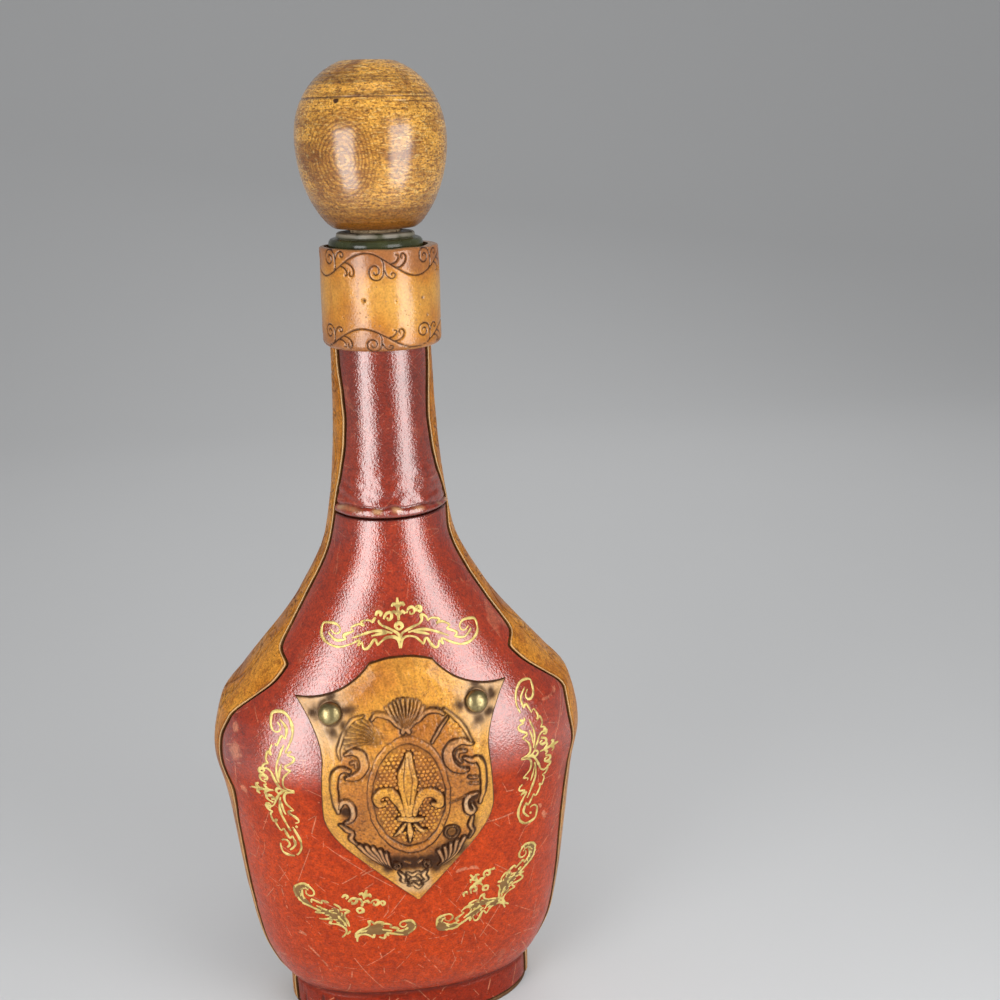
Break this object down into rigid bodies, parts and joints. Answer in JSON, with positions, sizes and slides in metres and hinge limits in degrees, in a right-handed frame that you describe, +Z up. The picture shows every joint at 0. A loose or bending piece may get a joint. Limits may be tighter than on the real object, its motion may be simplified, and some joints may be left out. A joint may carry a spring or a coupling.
{
  "type": "leather-wrapped decanter",
  "caption": "Flattened glass decanter covered in glued red and tan leather panels, with a tooled neck band, an embossed shield badge with domed studs and a wooden ball stopper on a cork.",
  "frame": {"origin": "on the table, under the flask's axis, at the middle of the base pad's underside", "axes": "+Z up along the neck, -Y towards the front panel with the shield, +X to the right seen from the front"},
  "size_m": [0.13, 0.0814, 0.3328],
  "materials": {
    "green_glass": "dark olive green bottle glass, glossy",
    "red_leather": "waxed oxblood leather, glossy and scuffed, gold-tooled",
    "tan_leather": "tan leather with pale cut edges, satin",
    "collar_leather": "tan leather band with dark tooled scrolls, satin",
    "badge_leather": "embossed tan leather with dark antique stain",
    "aged_brass": "aged polished brass",
    "base_leather": "plain brown leather, matt",
    "turned_wood": "stained and waxed turned wood",
    "dowel_wood": "bare wood",
    "cork": "natural cork, matt"
  },
  "bodies": {
    "bottle": {"glass_bottle": "green_glass", "front_body_panel": "red_leather", "back_body_panel": "red_leather", "front_neck_panel": "red_leather", "back_neck_panel": "red_leather", "left_gusset": "tan_leather", "right_gusset": "tan_leather", "neck_collar": "collar_leather", "shield_badge": "badge_leather", "left_stud": "aged_brass", "right_stud": "aged_brass", "base_pad": "base_leather"},
    "stopper": {"stopper_knob": "turned_wood", "stopper_dowel": "dowel_wood", "stopper_cork": "cork"}
  },
  "joints": [
    {"name": "stopper_pull", "type": "slide", "parent": "bottle", "child": "stopper", "axis": [0, 0, 1], "range_m": [0, 0.05]}
  ]
}
